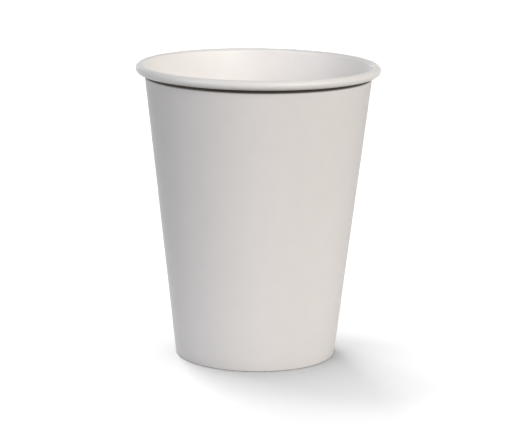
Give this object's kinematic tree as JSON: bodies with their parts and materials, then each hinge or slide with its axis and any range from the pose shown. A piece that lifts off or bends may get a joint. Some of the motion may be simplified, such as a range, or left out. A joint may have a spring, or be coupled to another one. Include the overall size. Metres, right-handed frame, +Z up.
{
  "type": "paper coffee cup",
  "caption": "Plain single-wall paper hot cup, a tapered cone with a rolled rim, a lapped side seam and a recessed bottom.",
  "frame": {"origin": "centre of the ring that the cup stands on, at table height", "axes": "+Z up along the cup's axis, towards the open mouth; the side seam lies between +X and +Y, 2 to 14 degrees from +X"},
  "size_m": [0.09, 0.09, 0.109],
  "materials": {
    "sidewall_board": "matt white cup board outside, thin clear film inside and over the rolled rim",
    "bottom_board": "white cup board with a thin clear film on its upper face, matt below"
  },
  "bodies": {
    "root": {"sidewall": "sidewall_board", "bottom": "bottom_board"}
  },
  "joints": []
}
